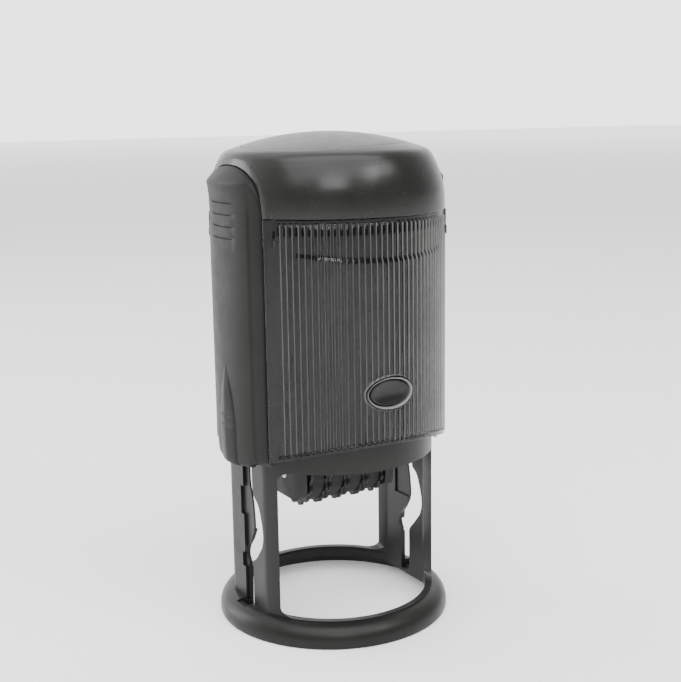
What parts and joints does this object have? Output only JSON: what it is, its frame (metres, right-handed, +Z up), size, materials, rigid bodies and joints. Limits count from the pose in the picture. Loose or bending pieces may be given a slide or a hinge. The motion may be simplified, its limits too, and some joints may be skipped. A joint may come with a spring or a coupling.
{
  "type": "self-inking date stamp",
  "caption": "Round self-inking date stamp: a sliding cap with clear ribbed windows over a two-legged foot ring, and a turning print carriage with date bands.",
  "frame": {"origin": "centre of the foot ring, in the plane of its bottom rim", "axes": "+Z up along the cap's travel; -Y towards the front window; +X and -X towards the finger grips"},
  "size_m": [0.064, 0.064, 0.1322],
  "materials": {
    "charcoal_plastic": "satin moulded plastic",
    "cap_plastic": "satin-gloss moulded plastic",
    "grip_plastic": "fine-textured soft-touch plastic",
    "insert_plastic": "satin plastic",
    "clear_window": "clear ribbed plastic",
    "index_card": "dark printed card",
    "mechanism_plastic": "moulded plastic",
    "spring_steel": "drawn wire",
    "band_rubber": "moulded rubber",
    "die_rubber": "moulded rubber",
    "ink_felt": "inked felt"
  },
  "bodies": {
    "base": {"foot_ring": "charcoal_plastic", "left_leg": "charcoal_plastic", "right_leg": "charcoal_plastic", "guide_tube": "charcoal_plastic", "pad_tray": "mechanism_plastic", "ink_pad": "ink_felt", "main_spring": "spring_steel"},
    "cap": {"cap_shell": "cap_plastic", "top_insert": "insert_plastic", "left_grip": "grip_plastic", "right_grip": "grip_plastic", "left_arm": "mechanism_plastic", "right_arm": "mechanism_plastic", "front_card": "index_card", "rear_card": "index_card"},
    "front_window": {"front_window": "clear_window"},
    "rear_window": {"rear_window": "clear_window"},
    "front_lock_button": {"front_lock_button": "cap_plastic"},
    "rear_lock_button": {"rear_lock_button": "cap_plastic"},
    "carriage": {"carriage_frame": "mechanism_plastic", "text_plate": "mechanism_plastic", "rubber_die": "die_rubber", "wheel_axle": "spring_steel", "band_bridge": "mechanism_plastic", "left_pivot_pin": "mechanism_plastic", "right_pivot_pin": "mechanism_plastic", "date_band_1": "band_rubber", "date_band_2": "band_rubber", "date_band_3": "band_rubber", "date_band_4": "band_rubber"},
    "date_wheel_1": {"date_wheel_1": "mechanism_plastic"},
    "date_wheel_2": {"date_wheel_2": "mechanism_plastic"},
    "date_wheel_3": {"date_wheel_3": "mechanism_plastic"},
    "date_wheel_4": {"date_wheel_4": "mechanism_plastic"}
  },
  "joints": [
    {"name": "cap_press", "type": "slide", "parent": "base", "child": "cap", "axis": [0, 0, 1], "range_m": [-0.038, 0], "stiffness_N_per_m": 300, "springref_m": 0.02, "deforming": ["main_spring"]},
    {"name": "carriage_flip", "type": "hinge", "parent": "cap", "child": "carriage", "pos_m": [0, 0, 0.0504], "axis": [1, 0, 0], "range_deg": [0, 180]},
    {"name": "front_button_push", "type": "slide", "parent": "cap", "child": "front_lock_button", "axis": [0, 1, 0], "range_m": [0, 0.0012], "stiffness_N_per_m": 400, "springref_m": -0.0005},
    {"name": "rear_button_push", "type": "slide", "parent": "cap", "child": "rear_lock_button", "axis": [0, -1, 0], "range_m": [0, 0.0012], "stiffness_N_per_m": 400, "springref_m": -0.0005},
    {"name": "front_window_unclip", "type": "slide", "parent": "cap", "child": "front_window", "axis": [0, -1, 0], "range_m": [0, 0.025]},
    {"name": "rear_window_unclip", "type": "slide", "parent": "cap", "child": "rear_window", "axis": [0, 1, 0], "range_m": [0, 0.025]},
    {"name": "date_wheel_1_turn", "type": "hinge", "parent": "carriage", "child": "date_wheel_1", "pos_m": [-0.00885, 0, 0.0405], "axis": [1, 0, 0], "continuous": true},
    {"name": "date_wheel_2_turn", "type": "hinge", "parent": "carriage", "child": "date_wheel_2", "pos_m": [-0.00295, 0, 0.0405], "axis": [1, 0, 0], "continuous": true},
    {"name": "date_wheel_3_turn", "type": "hinge", "parent": "carriage", "child": "date_wheel_3", "pos_m": [0.00295, 0, 0.0405], "axis": [1, 0, 0], "continuous": true},
    {"name": "date_wheel_4_turn", "type": "hinge", "parent": "carriage", "child": "date_wheel_4", "pos_m": [0.00885, 0, 0.0405], "axis": [1, 0, 0], "continuous": true}
  ],
  "couplings": [
    {"joint": "carriage_flip", "follows": "cap_press", "rad_per_m": -82.67}
  ]
}
